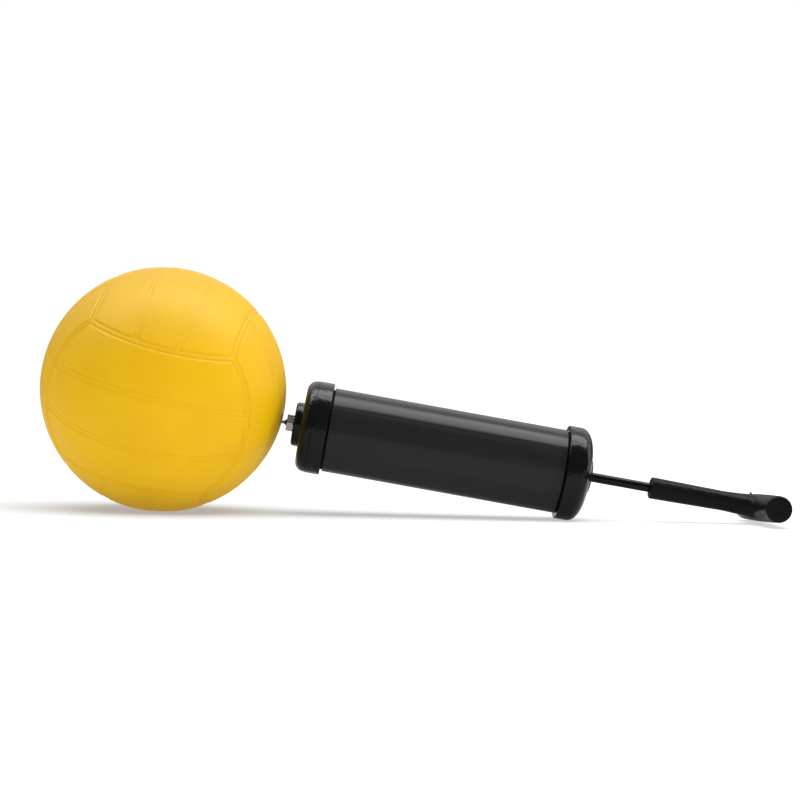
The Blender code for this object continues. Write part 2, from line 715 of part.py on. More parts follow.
def make_rod(swivel, chrome, zinc):
    """Rod with a turned-down front end, on which two washers and a nut hold the piston."""
    chamfer = SPIGOT_RADIUS / 4
    rod = [
        (ROD_FRONT, 0.0),
        (ROD_FRONT, SPIGOT_RADIUS - chamfer),
        (ROD_FRONT + chamfer, SPIGOT_RADIUS),
        (ROD_SHOULDER, SPIGOT_RADIUS),
        (ROD_SHOULDER, ROD_RADIUS),
        (ROD_BACK - chamfer, ROD_RADIUS),
        (ROD_BACK, ROD_RADIUS - chamfer),
        (ROD_BACK, 0.0),
    ]
    turned("rod", rod, swivel, chrome, origin=PISTON_FRONT)
    for name, station in (("front_piston_washer", FRONT_WASHER), ("rear_piston_washer", REAR_WASHER)):
        ends = (station, station + ROD_WASHER_THICKNESS)
        washer = tube_profile(*ends, SPIGOT_RADIUS + GAP, ROD_WASHER_RADIUS)
        turned(name, washer, swivel, zinc, origin=PISTON_FRONT)
    nut = finish_mesh(
        "piston_nut", prism_mesh(NUT_FRONT, NUT_FRONT + NUT_THICKNESS, NUT_ACROSS_FLATS), swivel, zinc,
        PISTON_FRONT,
    )
    hole = rod_profile(ROD_FRONT - NUT_THICKNESS, PISTON_FRONT, SPIGOT_RADIUS + GAP)
    cut(nut, turned("nut_hole", hole, swivel, origin=PISTON_FRONT))


def flare_section(share):
    """Half width and half height of the stem at a share of the way from its end to the grip."""
    start = 1 - FLARE_LENGTH / STEM_TO_GRIP
    grown = max(0.0, (share - start) / (1 - start))
    spread = 1 - math.sqrt(max(0.0, 1 - grown**FLARE_CURVE))
    half_width = STEM_RADIUS + (FLARE_HALF_WIDTH - STEM_RADIUS) * spread
    half_height = STEM_RADIUS + (GRIP_RADIUS - STEM_RADIUS) * grown**FLARE_THICKENING
    return half_width, half_height


def stem_mesh(sides=SMALL_ROUND):
    """The stem, lofted from a round end to the wide flat oval that runs into the grip."""
    rounding = [
        (STEM_ROUND * (1 - math.cos(a)), STEM_ROUND * (1 - math.sin(a)))
        for a in (0.0, math.pi / 4, math.pi / 2)
    ]
    sections = [
        (STEM_FRONT + forward, STEM_END_RADIUS - inset, STEM_END_RADIUS - inset)
        for forward, inset in rounding
    ]
    start = 1 - FLARE_LENGTH / STEM_TO_GRIP
    for k in range(FLARE_SECTIONS + 1):
        share = start + (1 - start) * k / FLARE_SECTIONS
        sections.append((STEM_FRONT + STEM_TO_GRIP * share, *flare_section(share)))
    shape = bmesh.new()
    loops = []
    for station, half_width, half_height in sections:
        angles = [2 * math.pi * (k + 0.5) / sides for k in range(sides)]
        ring = [
            shape.verts.new((station, half_width * math.sin(a), half_height * math.cos(a)))
            for a in angles
        ]
        loops.append([shape.edges.new((ring[k], ring[(k + 1) % sides])) for k in range(sides)])
    for front, back in zip(loops, loops[1:]):
        bmesh.ops.bridge_loops(shape, edges=front + back)
    bmesh.ops.holes_fill(shape, edges=loops[0] + loops[-1], sides=sides)
    return shape


def grip_profile():
    """The grip from end to end along its own axis: fullest in the middle, with flat ends."""
    half = GRIP_LENGTH / 2
    body = [
        (x, GRIP_RADIUS + (GRIP_END_RADIUS - GRIP_RADIUS) * (x / half) ** 2)
        for x in (half * k / 5 for k in range(-4, 5))
    ]
    corner = GRIP_END_RADIUS - GRIP_END_ROUND
    return (
        [(-half, 0.0)]
        + arc(GRIP_END_ROUND - half, corner, GRIP_END_ROUND, -90, 0, 3)
        + body
        + arc(half - GRIP_END_ROUND, corner, GRIP_END_ROUND, 0, 90, 3)
        + [(half, 0.0)]
    )


def make_handle(swivel, black):
    """T-handle moulded in one piece: a round stem that spreads into a crosswise grip."""
    holder = make_empty("handle_axis", swivel, STEM_FRONT - PISTON_FRONT, HANDLE_TURN)
    handle = finish_mesh("handle", stem_mesh(), holder, black, STEM_FRONT)
    grip = turned("grip_bar", grip_profile(), holder)
    grip.location = (STEM_TO_GRIP, 0.0, 0.0)
    grip.rotation_euler = (0.0, 0.0, math.pi / 2)
    combine(handle, grip, "UNION")
    bore = rod_profile(-ROD_IN_HANDLE, ROD_IN_HANDLE + GAP, ROD_RADIUS + GAP)
    cut(handle, turned("rod_socket", bore, holder))


# ---------------------------------------------------------------- the whole object


def build():
    clear_scene()
    yellow = make_material("yellow_rubber", (0.90, 0.52, 0.03), 0.42)
    butyl = make_material("butyl_rubber", (0.03, 0.03, 0.03), 0.70)
    soft_rubber = make_material("soft_rubber", (0.02, 0.02, 0.02), 0.60)
    satin_black = make_material("satin_black_plastic", (0.018, 0.018, 0.019), 0.38)
    gloss_black = make_material("gloss_black_plastic", (0.014, 0.014, 0.015), 0.20)
    grey_plastic = make_material("grey_plastic", (0.35, 0.35, 0.36), 0.50)
    steel = make_material("polished_steel", (0.72, 0.73, 0.75), 0.18, 1.0)
    nickel = make_material("nickel_plate", (0.76, 0.75, 0.72), 0.22, 1.0)
    black_steel = make_material("blackened_steel", (0.05, 0.05, 0.055), 0.30, 1.0)
    zinc = make_material("zinc_plate", (0.60, 0.62, 0.66), 0.35, 1.0)
    brass = make_material("brass", (0.72, 0.52, 0.22), 0.30, 1.0)

    pump = make_empty("pump_axis", None)
    pump.location = pump_origin()
    pump.rotation_euler = (0.0, SLOPE, 0.0)
    bpy.context.view_layer.update()

    make_ball(pump, yellow, butyl, soft_rubber)
    make_needle(pump, steel, nickel, soft_rubber)
    make_front_cap(pump, satin_black)
    make_outlet(pump, brass, soft_rubber)
    make_barrel(pump, gloss_black)
    make_rear_cap(pump, satin_black)
    make_rod_guide(pump, satin_black)

    stroke = make_empty("stroke_axis", pump, PISTON_FRONT)
    swivel = make_empty("swivel_axis", stroke)
    make_piston(stroke, grey_plastic, soft_rubber)
    make_rod(swivel, black_steel, zinc)
    make_handle(swivel, satin_black)


build()
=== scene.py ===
"""Finish and setting for a mini volleyball with a hand pump, the pump's needle still in its valve.

Metres, +Z up, floor at z = 0. Pump parts are shaped along +X in the pump's own frame, with station 0 at
the outer face of the front cap, and are then laid on the pump's slope. The ball is shaped about its own
centre, with +X through the valve.
"""

import math

import bmesh
import bpy
import numpy as np
from mathutils import Matrix, Vector
from mathutils.kdtree import KDTree


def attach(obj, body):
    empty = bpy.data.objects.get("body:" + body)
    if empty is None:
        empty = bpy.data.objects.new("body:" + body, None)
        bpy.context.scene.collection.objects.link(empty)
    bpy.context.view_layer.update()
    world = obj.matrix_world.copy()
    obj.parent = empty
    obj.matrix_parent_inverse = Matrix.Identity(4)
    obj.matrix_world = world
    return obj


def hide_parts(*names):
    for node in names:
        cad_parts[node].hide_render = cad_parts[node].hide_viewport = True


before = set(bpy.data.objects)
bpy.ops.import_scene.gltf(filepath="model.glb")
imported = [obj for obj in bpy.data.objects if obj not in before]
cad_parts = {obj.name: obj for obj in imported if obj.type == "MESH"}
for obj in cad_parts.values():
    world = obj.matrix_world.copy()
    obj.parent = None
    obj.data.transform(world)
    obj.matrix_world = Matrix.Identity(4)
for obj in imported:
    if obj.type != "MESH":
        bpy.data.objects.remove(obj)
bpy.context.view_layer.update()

# ---------------------------------------------------------------- sizes, metres

# A size that the CAD has too is the same there, unless its comment says otherwise.

MM = 1000  # millimetres in a metre
GAP = 0.0003  # clearance between two pieces
HAIR_EDGE = 0.0001  # roundings of edges, from the sharpest to the softest
CRISP_EDGE = 0.0002
EASED_EDGE = 0.0003
SOFT_EDGE = 0.0004
OVERCUT = 0.001  # how far a cutter reaches past the end of what it cuts
SLOPE = math.radians(8.8456)
STATION_0 = Vector((-0.056774, -0.0045, 0.046273))

BALL_RADIUS = 0.0635
COVER_WALL = 0.0025
ENTRY = -0.01065  # where the needle enters the ball
BALL_BESIDE = 0.0045
BALL_ABOVE = 0.00545
PANEL_LEAN = math.radians(16.8)
STRIP_SHARE = 0.259
STRIP_TAPER = 0.37
GROOVE_APART = 0.0013  # from a seam's middle to the middle of either groove
GROOVE_REACH = 0.0010
GROOVE_DEPTH = 0.00055
RIB_DROP = 0.00018
STRIP_GROOVE_SHARE = 0.5  # depth of the grooves between strips, beside those round a face. 1 in the CAD
NOSE_RADIUS = 0.0045  # of the valve
VALVE_CUT = 0.02  # reach of the valve hole's cutter, into the ball and out of it

NEEDLE_TIP = -0.04185
NEEDLE_BACK = -0.00005
NEEDLE_RADIUS = 0.0010
NEEDLE_TIP_ROUND = NEEDLE_RADIUS * 0.98  # just short of the axis
NEEDLE_BORE = 0.00055
PORT_RADIUS = 0.0004
PORT_FROM_TIP = 0.0035
BASE_FRONT = -0.00785
BASE_BACK = -0.00425
BASE_ACROSS_FLATS = 0.0084
BASE_CHAMFER = 0.0005
BASE_NECK_RADIUS = 0.0021
BASE_NECK_LENGTH = 0.0010
BASE_NECK_WAIST = 0.3  # share of the neck, at the hexagon, in which it spreads most
SHANK_RADIUS = 0.0033
SHANK_LENGTH = 0.0062
THREAD_PITCH = 0.0254 / 32  # 32 threads to the inch
THREAD_DEPTH = 0.0004
THREAD_FOOT = 0.42 * THREAD_PITCH  # half width of the ridge's foot
THREAD_CREST = 0.00006  # half width of its crest
THREAD_SUNK = 0.0001  # how far the ridge reaches into the shank
THREAD_STEPS = 32  # in one turn
SHANK_PLAIN = 0.0006  # the shank's end, which has no thread

SPOUT_LENGTH = 0.0041
SPOUT_RADIUS = 0.0114
SPOUT_ROUND = 0.0014
SPOUT_HOLE = 0.0055
FRONT_CAP_RADIUS = 0.02395
FRONT_CAP_ROUND = 0.0050
FRONT_CAP_BEVEL = FRONT_CAP_ROUND * 0.99  # a hair under the whole rounding
FRONT_CAP_LENGTH = 0.0134
FRONT_PLATE = 0.0035
PARTING_STEP = 0.00015
PARTING_BEHIND = 0.0005  # from the cap's rounding back to its parting step
CAP_BORE = 0.02125
MOUTH_CHAMFER = 0.0007
RIM_ROUND = 0.0005

BARREL_RADIUS = 0.02185
BARREL_BORE = 0.01985
BARREL_FRONT = 0.0053
BARREL_BACK = 0.1423
NECK_RADIUS = 0.02095  # of the barrel's turned-down ends
NECK_SHOWING = 0.0009
REAR_NECK_SHOWING = 0.0007  # 0.9 mm in the CAD, as at the front

REAR_CAP_RADIUS = 0.02445
REAR_RIM = 0.1375
REAR_DOME = 0.1435
REAR_FACE = 0.1515
REAR_DOME_FLAT = 0.00845
REAR_DOME_SQUARENESS = 0.88  # a little fuller at the shoulder than an ellipse, which it is in the CAD
REAR_CAP_WALL = 0.0024
GUIDE_FRONT = 0.1415
GUIDE_BACK = 0.1528
GUIDE_SLEEVE_RADIUS = 0.0052
GUIDE_FLANGE_RADIUS = 0.0087
GUIDE_FLANGE_ROUND = 0.0006

ROD_RADIUS = 0.0025
SPIGOT_RADIUS = 0.0020
ROD_FRONT = 0.0374
ROD_SHOULDER = 0.0558
ROD_BACK = 0.2065
STEM_FRONT = 0.1845
STEM_END_RADIUS = 0.0057
STEM_RADIUS = 0.0052  # where it starts to spread into the grip
STEM_ROUND = 0.0010
STEM_TO_GRIP = 0.0603
ROD_IN_HANDLE = 0.0220
FLARE_LENGTH = 0.0240
FLARE_HALF_WIDTH = 0.0215
GRIP_LENGTH = 0.0750
FLARE_CURVE = 2.0  # how late the stem widens: higher is later
FLARE_THICKENING = 2.0  # how late it thickens. 1.5 in the CAD
FLARE_SHARES = (*np.linspace(0.1, 0.6, 6), *np.linspace(0.61, 0.9975, 30))  # the stem's sections
MELTED_HALF_WIDTH = 0.030  # the stretch of the grip that the stem runs into
VOXEL = 0.00045  # of the remesh that makes stem and grip one skin
GRIP_RADIUS = 0.0072
GRIP_END_RADIUS = 0.0068
GRIP_END_ROUND = 0.0014
HANDLE_TURN = math.radians(-2.0)
NIB_RADIUS = 0.0006  # stub of the mould's gate, on top of the grip. Not in the CAD
NIB_HEIGHT = 0.0006
NIB_BEHIND = -0.0005
NIB_BESIDE = 0.030

ROUND = 128  # sides of the caps and the barrel
SLIM = 64  # sides of the rod, the stem, the grip and the needle's shank

PUMP = Matrix.Translation(STATION_0) @ Matrix.Rotation(SLOPE, 4, "Y")


def ball_place():
    """The ball's own frame in the world."""
    beside = math.hypot(BALL_BESIDE, BALL_ABOVE)
    foot = ENTRY - math.sqrt(BALL_RADIUS**2 - beside**2)
    centre = Vector((foot, BALL_BESIDE, BALL_ABOVE))
    valve = (Vector((ENTRY, 0, 0)) - centre).normalized()
    upright = (Vector((0, 0, 1)) - valve * valve.z).normalized()
    strips = Matrix.Rotation(PANEL_LEAN, 3, valve) @ upright
    axes = Matrix((valve, strips, valve.cross(strips))).transposed()
    return PUMP @ Matrix.Translation(centre) @ axes.to_4x4()


BALL = ball_place()

# ---------------------------------------------------------------- shaping


def turned(corners, sides=ROUND, steps=5):
    """Spin an outline about the pump's axis. Each corner is a station, a radius and its rounding."""
    shape = bmesh.new()
    verts = [shape.verts.new((station, 0, radius)) for station, radius, _ in corners]
    shape.faces.new(verts)
    for vert, (_, _, rounding) in zip(verts, corners):
        if rounding:
            bmesh.ops.bevel(
                shape, geom=[vert], offset=rounding, segments=steps, profile=0.5, affect="VERTICES",
                material=-1,
            )
    bmesh.ops.delete(shape, geom=shape.faces[:], context="FACES_ONLY")
    axis_edges = [e for e in shape.edges if all(v.co.z < 1e-7 for v in e.verts)]
    bmesh.ops.delete(shape, geom=axis_edges, context="EDGES")
    bmesh.ops.spin(
        shape, geom=shape.verts[:] + shape.edges[:], cent=(0, 0, 0), axis=(1, 0, 0),
        angle=2 * math.pi, steps=sides, use_merge=True,
    )
    return tidied(shape)


def tidied(shape):
    bmesh.ops.remove_doubles(shape, verts=shape.verts, dist=1e-7)
    bmesh.ops.recalc_face_normals(shape, faces=shape.faces)
    return shape


def bar(front, back, radius, sides=48):
    """A plain round bar, for cutting and joining."""
    return turned([(front, 0, 0), (front, radius, 0), (back, radius, 0), (back, 0, 0)], sides)


def moved(shape, place):
    bmesh.ops.transform(shape, matrix=place, verts=shape.verts)
    return shape


def loose_object(name, shape):
    mesh = bpy.data.meshes.new(name)
    shape.to_mesh(mesh)
    shape.free()
    item = bpy.data.objects.new(name, mesh)
    bpy.context.scene.collection.objects.link(item)
    return item


def modified(shape, kind, other=None, **settings):
    """The mesh after one modifier. Other is the second mesh of a Boolean."""
    item = loose_object("work", shape)
    change = item.modifiers.new(kind, kind)
    if other:
        change.object = loose_object("tool", other)
    for name, value in settings.items():
        setattr(change, name, value)
    graph = bpy.context.evaluated_depsgraph_get()
    mesh = bpy.data.meshes.new_from_object(item.evaluated_get(graph))
    result = bmesh.new()
    result.from_mesh(mesh)
    if other:
        bpy.data.objects.remove(change.object)
    bpy.data.objects.remove(item)
    bpy.data.meshes.remove(mesh)
    return result


def joined(shape, other):
    return modified(shape, "BOOLEAN", other, operation="UNION", solver="EXACT")


def cut(shape, other):
    return modified(shape, "BOOLEAN", other, operation="DIFFERENCE", solver="EXACT")


def piece(name, shape, finish, body, stands_for, place=PUMP, sharp=40):
    """Make the finished piece: its place goes into its mesh, and it rides on its body."""
    item = loose_object(name, moved(shape, place))
    item.data.shade_smooth()
    item.data.set_sharp_from_angle(angle=math.radians(sharp))
    item.data.materials.append(finish)
    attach(item, body)
    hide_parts(stands_for)
    return item


# ---------------------------------------------------------------- finishes

# Roughness where a surface is rubbed smooth and where it has gone dull, beside its usual roughness.
RUBBED, DULLED = 0.8, 1.25


def linear(colour):
    """Linear RGBA of an sRGB hex colour."""
    parts = [int(colour[i : i + 2], 16) / 255 for i in (1, 3, 5)]
    return [p / 12.92 if p <= 0.04045 else ((p + 0.055) / 1.055) ** 2.4 for p in parts] + [1.0]


def add(tree, kind, inputs=None, **settings):
    """Add a node. Each input is a value or another node's output."""
    node = tree.nodes.new(kind)
    for name, value in settings.items():
        setattr(node, name, value)
    for name, value in (inputs or {}).items():
        if isinstance(value, bpy.types.NodeSocket):
            tree.links.new(value, node.inputs[name])
        else:
            node.inputs[name].default_value = value
    return node


def start_finish(name, roughness, metallic=0.0, specular=0.5):
    """A new material, its nodes, its shader, and the point in the pump's frame, in millimetres."""
    finish = bpy.data.materials.new(name)
    finish.use_nodes = True
    tree = finish.node_tree
    shader = tree.nodes["Principled BSDF"]
    shader.inputs["Roughness"].default_value = roughness
    shader.inputs["Metallic"].default_value = metallic
    shader.inputs["Specular IOR Level"].default_value = specular
    point = add(tree, "ShaderNodeTexCoord").outputs["Object"]
    point = add(
        tree, "ShaderNodeMapping", {
            "Vector": point, "Location": STATION_0, "Rotation": (0, SLOPE, 0),
            "Scale": (1 / MM, 1 / MM, 1 / MM),
        }, vector_type="TEXTURE",
    ).outputs["Vector"]
    return finish, tree, shader, point


def stretched(tree, point, sizes):
    """The point scaled so that a pattern of scale 1 is this many millimetres along and across."""
    return add(
        tree, "ShaderNodeVectorMath", {0: point, 1: [1 / size for size in sizes]}, operation="MULTIPLY"
    ).outputs[0]


# Ball cover: natural-and-butadiene rubber, compression moulded. Satin, faintly pebbled from the mould,
# a little paler where hands have rubbed it, and with painted shade down in the grooves.
def moulded_yellow_rubber():
    finish, tree, shader, point = start_finish("moulded_yellow_rubber", 0.46, specular=0.15)
    cloudy = add(tree, "ShaderNodeTexNoise", {
        "Vector": stretched(tree, point, (22, 22, 22)), "Scale": 1.0, "Detail": 4.0, "Roughness": 0.55})
    skin = add(tree, "ShaderNodeMix", {
        "Factor": cloudy.outputs["Fac"], "A": linear("#E9B407"), "B": linear("#F2C110")},
        data_type="RGBA")
    # Painted shade: the grooves are mixed a little towards a darker orange, by their depth.
    groove = add(tree, "ShaderNodeAttribute", attribute_name="groove", attribute_type="GEOMETRY")
    share = add(tree, "ShaderNodeMath", {0: groove.outputs["Fac"], 1: 0.15}, operation="MULTIPLY")
    colour = add(tree, "ShaderNodeMix", {
        "Factor": share.outputs[0], "A": skin.outputs["Result"], "B": linear("#D99A0C")},
        data_type="RGBA")
    tree.links.new(colour.outputs["Result"], shader.inputs["Base Color"])
    rubbed = add(tree, "ShaderNodeMapRange", {
        "Value": cloudy.outputs["Fac"], "From Min": 0.35, "From Max": 0.7, "To Min": 0.42,
        "To Max": 0.54})
    tree.links.new(rubbed.outputs["Result"], shader.inputs["Roughness"])
    # The real pebble is 0.4 mm. It is drawn at 0.8 mm, so that it shows.
    pebble = add(tree, "ShaderNodeTexVoronoi", {
        "Vector": stretched(tree, point, (0.8, 0.8, 0.8)), "Scale": 1.0, "Smoothness": 1.0},
        feature="SMOOTH_F1")
    bump = add(tree, "ShaderNodeBump", {
        "Height": pebble.outputs["Distance"], "Strength": 0.12, "Distance": 0.0001})
    tree.links.new(bump.outputs["Normal"], shader.inputs["Normal"])
    return finish


def moulded_black(name, dark, light, roughness, specular):
    """A black plastic from a spark-eroded mould: mottled, and rubbed a little glossier in places."""
    finish, tree, shader, point = start_finish(name, roughness, specular=specular)
    handled = add(tree, "ShaderNodeTexNoise", {
        "Vector": stretched(tree, point, (9, 9, 9)), "Scale": 1.0, "Detail": 5.0, "Roughness": 0.6})
    colour = add(tree, "ShaderNodeMix", {
        "Factor": handled.outputs["Fac"], "A": linear(dark), "B": linear(light)}, data_type="RGBA")
    tree.links.new(colour.outputs["Result"], shader.inputs["Base Color"])
    sheen = add(tree, "ShaderNodeMapRange", {
        "Value": handled.outputs["Fac"], "From Min": 0.35, "From Max": 0.7,
        "To Min": roughness * RUBBED, "To Max": roughness * DULLED})
    tree.links.new(sheen.outputs["Result"], shader.inputs["Roughness"])
    # The real mottle is under a millimetre wide. It is drawn at 2.4 mm, so that it shows.
    mottle = add(tree, "ShaderNodeTexNoise", {
        "Vector": stretched(tree, point, (2.4, 2.4, 2.4)), "Scale": 1.0, "Detail": 2.0,
        "Roughness": 0.4})
    bump = add(tree, "ShaderNodeBump", {
        "Height": mottle.outputs["Fac"], "Strength": 0.8, "Distance": 0.0003})
    tree.links.new(bump.outputs["Normal"], shader.inputs["Normal"])
    return finish


# Barrel: black ABS tube, extruded. Dark grey under a gloss, with faint lines along its length from the
# die. The turned-down necks are painted near black as painted shade in the gap beside each cap, and are
# matt.
def extruded_black_abs():
    finish, tree, shader, point = start_finish("extruded_black_abs", 0.2, specular=0.16)
    # Real die lines are some tenths of a millimetre apart. They are drawn at 1.6 mm, so that they show.
    die_lines = add(tree, "ShaderNodeTexNoise", {
        "Vector": stretched(tree, point, (90, 1.6, 1.6)), "Scale": 1.0, "Detail": 3.0,
        "Roughness": 0.5})
    colour = add(tree, "ShaderNodeMix", {
        "Factor": die_lines.outputs["Fac"], "A": linear("#1F1F1F"), "B": linear("#272728")},
        data_type="RGBA")
    across = add(tree, "ShaderNodeVectorMath", {0: point, 1: (0, 1, 1)}, operation="MULTIPLY")
    radius = add(tree, "ShaderNodeVectorMath", {0: across.outputs[0]}, operation="LENGTH")
    skin = add(tree, "ShaderNodeMapRange", {
        "Value": radius.outputs["Value"], "From Min": MM * NECK_RADIUS + 0.1,
        "From Max": MM * BARREL_RADIUS - 0.3, "To Min": 0.0, "To Max": 1.0})
    # Painted shade: near black on the turned-down necks, where the gap beside each cap lies in shadow.
    colour = add(tree, "ShaderNodeMix", {
        "Factor": skin.outputs["Result"], "A": linear("#040404"), "B": colour.outputs["Result"]},
        data_type="RGBA")
    tree.links.new(colour.outputs["Result"], shader.inputs["Base Color"])
    gloss = add(tree, "ShaderNodeMapRange", {
        "Value": die_lines.outputs["Fac"], "From Min": 0.35, "From Max": 0.65, "To Min": 0.16,
        "To Max": 0.26})
    gloss = add(tree, "ShaderNodeMix", {
        "Factor": skin.outputs["Result"], "A": 0.9, "B": gloss.outputs["Result"]})
    tree.links.new(gloss.outputs["Result"], shader.inputs["Roughness"])
    bump = add(tree, "ShaderNodeBump", {
        "Height": die_lines.outputs["Fac"], "Strength": 0.5, "Distance": 0.00007})
    tree.links.new(bump.outputs["Normal"], shader.inputs["Normal"])
    return finish


# Rod: mild steel wire, drawn and chemically blackened. Dark and oily, with the die's lines along it,
# which are 0.5 mm apart here, so that they show.
def blackened_drawn_steel():
    finish, tree, shader, point = start_finish("blackened_drawn_steel", 0.3, 1.0)
    lines = add(tree, "ShaderNodeTexNoise", {
        "Vector": stretched(tree, point, (40, 0.5, 0.5)), "Scale": 1.0, "Detail": 2.0})
    colour = add(tree, "ShaderNodeMix", {
        "Factor": lines.outputs["Fac"], "A": linear("#1E1E1F"), "B": linear("#29292A")},
        data_type="RGBA")
    tree.links.new(colour.outputs["Result"], shader.inputs["Base Color"])
    bump = add(tree, "ShaderNodeBump", {
        "Height": lines.outputs["Fac"], "Strength": 0.2, "Distance": 0.00003})
    tree.links.new(bump.outputs["Normal"], shader.inputs["Normal"])
    return finish


def metal(name, dark, light, roughness, ring):
    """A bright metal with fine rings from turning, each this many millimetres wide."""
    finish, tree, shader, point = start_finish(name, roughness, 1.0)
    rings = add(tree, "ShaderNodeTexNoise", {
        "Vector": stretched(tree, point, (ring, 8, 8)), "Scale": 1.0, "Detail": 3.0})
    colour = add(tree, "ShaderNodeMix", {
        "Factor": rings.outputs["Fac"], "A": linear(dark), "B": linear(light)}, data_type="RGBA")
    tree.links.new(colour.outputs["Result"], shader.inputs["Base Color"])
    worn = add(tree, "ShaderNodeMapRange", {
        "Value": rings.outputs["Fac"], "From Min": 0.3, "From Max": 0.7,
        "To Min": roughness * RUBBED, "To Max": roughness * DULLED})
    tree.links.new(worn.outputs["Result"], shader.inputs["Roughness"])
    bump = add(tree, "ShaderNodeBump", {
        "Height": rings.outputs["Fac"], "Strength": 0.15, "Distance": 0.00003})
    tree.links.new(bump.outputs["Normal"], shader.inputs["Normal"])
    return finish


def plain_moulding(name, dark, light, roughness, grain):
    """A hidden moulding with a fine grain, its size in millimetres."""
    finish, tree, shader, point = start_finish(name, roughness)
    clouds = add(tree, "ShaderNodeTexNoise", {
        "Vector": stretched(tree, point, (grain, grain, grain)), "Scale": 1.0, "Detail": 5.0,
        "Roughness": 0.65})
    colour = add(tree, "ShaderNodeMix", {
        "Factor": clouds.outputs["Fac"], "A": linear(dark), "B": linear(light)}, data_type="RGBA")
    tree.links.new(colour.outputs["Result"], shader.inputs["Base Color"])
    bump = add(tree, "ShaderNodeBump", {
        "Height": clouds.outputs["Fac"], "Strength": 0.2, "Distance": 0.0001})
    tree.links.new(bump.outputs["Normal"], shader.inputs["Normal"])
    return finish


YELLOW = moulded_yellow_rubber()
# Caps and bush: black polypropylene, injection moulded. Nearly black, with crisp but broken highlights.
CAP_BLACK = moulded_black(
    "moulded_black_polypropylene", "#0B0B0B", "#111112", roughness=0.18, specular=0.2)
# Handle: black nylon, injection moulded. A little greyer and duller than the caps.
HANDLE_BLACK = moulded_black("moulded_black_nylon", "#111111", "#181819", roughness=0.27, specular=0.06)
GLOSS_BLACK = extruded_black_abs()
BLACK_STEEL = blackened_drawn_steel()
# Needle: stainless steel tube, drawn and polished. Mid grey, with the faintest rings.
NEEDLE_STEEL = metal("drawn_stainless_steel", "#666664", "#8A8A88", roughness=0.25, ring=2.5)
# Needle base: brass bar, turned and nickel plated. A warm grey mirror with tool rings.
NICKEL = metal("turned_nickel_plated_brass", "#A5A29C", "#CFCCC6", roughness=0.2, ring=0.25)
# Nut and washers: mild steel, stamped and zinc plated. A cool grey, duller than the nickel.
ZINC = metal("stamped_zinc_plated_steel", "#8E949C", "#B9BFC6", roughness=0.36, ring=1.2)
# Outlet insert: brass, turned. Yellow metal with open tool rings.
BRASS = metal("turned_brass", "#B08A3C", "#D2AE5E", roughness=0.28, ring=0.3)
# Bladder: butyl rubber, dipped. Dull black with a cloudy skin.
BUTYL = plain_moulding("dipped_butyl_rubber", "#1A1A1A", "#2A2A29", roughness=0.62, grain=6)
# Valve, washers and piston ring: soft black rubber, moulded. Almost matt.
SOFT_RUBBER = plain_moulding("moulded_soft_rubber", "#161616", "#232323", roughness=0.55, grain=1.5)
# Piston: grey acetal, injection moulded. Waxy and even.
ACETAL = plain_moulding("moulded_grey_acetal", "#9A9C9E", "#A9ABAD", roughness=0.45, grain=5)

# ---------------------------------------------------------------- ball

PANEL_EDGE = 1 / math.sqrt(3)
# Grid lines from the middle of a panel face (0) over its strip seam (1) to its edge (2): close together
# beside the seams, and wide apart between them.
LINE_COUNTS = (6, 11, 10, 12, 10)
LINE_STOPS = (0.0, 0.73, 1.0, 1.12, 1.88, 2.0)
HALF_LINES = sum(LINE_COUNTS)
LINE_PLACES = np.cumsum((0,) + LINE_COUNTS) / HALF_LINES
SEAM_STEPS = 300  # points along half of a seam, less than 0.2 mm apart


def seam_height(along):
    """Height of a strip seam on the unit sphere, above the middle line of its panel face."""
    taper = 1 + STRIP_TAPER * (1 - STRIP_SHARE**2) * (1 - along**2)
    return math.sqrt(2 / 3) * math.sin(STRIP_SHARE * math.pi / 4) * taper


def height(line, along):
    """Height of a grid line, which is 1 on the strip seam and 2 on the face's edge."""
    seam = seam_height(along)
    place = float(np.interp(abs(line), LINE_PLACES, LINE_STOPS))
    reach = place * seam if place < 1 else seam + (place - 1) * (PANEL_EDGE - seam)
    return math.copysign(reach, line)


def panel_point(line_along, line_across):
    """A point on the unit sphere, in a panel face's own frame. Grid lines run from -1 to 1."""
    along = math.asin(height(line_along, 1) / math.sqrt(2 / 3)) * 4 / math.pi
    y = height(line_across, along)
    ring = math.sqrt(1 - y * y)
    end = math.acos(PANEL_EDGE / ring)
    return ring * math.sin(along * end), y, ring * math.cos(along * end)


def on_ball(corner):
    """Where a point of the cube's surface goes on the unit sphere."""
    out = max(range(3), key=lambda i: abs(corner[i]))
    turn = (out + 1) % 3
    side = math.copysign(1, corner[out])
    x, y, z = panel_point(corner[turn] * side, corner[(turn + 1) % 3])
    return np.roll((x * side, y, z * side), turn)


def seam_points(lines):
    """Points close together along these grid lines of the six panel faces, ready to be searched."""
    rows = []
    for turn in range(3):
        for side in (1, -1):
            for across in lines:
                for k in range(-SEAM_STEPS, SEAM_STEPS + 1):
                    x, y, z = panel_point(k / SEAM_STEPS, across)
                    rows.append(np.roll((x * side, y, z * side), turn) * BALL_RADIUS)
    tree = KDTree(len(rows))
    for i, row in enumerate(rows):
        tree.insert(row, i)
    tree.balance()
    return tree


def groove_depth(spot, seams, edges):
    """Depth of the seams at a spot on the ball, less for the seams between strips than at the edges."""
    depth = groove_profile(seams.find(spot)[2])
    if not depth:
        return 0.0
    half = GROOVE_APART + GROOVE_REACH
    return depth * np.interp(edges.find(spot)[2], (half, 2 * half), (1.0, STRIP_GROOVE_SHARE))


def groove_profile(distance):
    """Two soft grooves side by side with a low rib between them."""
    off = distance - GROOVE_APART
    if off < 0:
        return RIB_DROP + (GROOVE_DEPTH - RIB_DROP) * 0.5 * (1 + math.cos(math.pi * off / GROOVE_APART))
    if off < GROOVE_REACH:
        return GROOVE_DEPTH * 0.5 * (1 + math.cos(math.pi * off / GROOVE_REACH))
    return 0.0


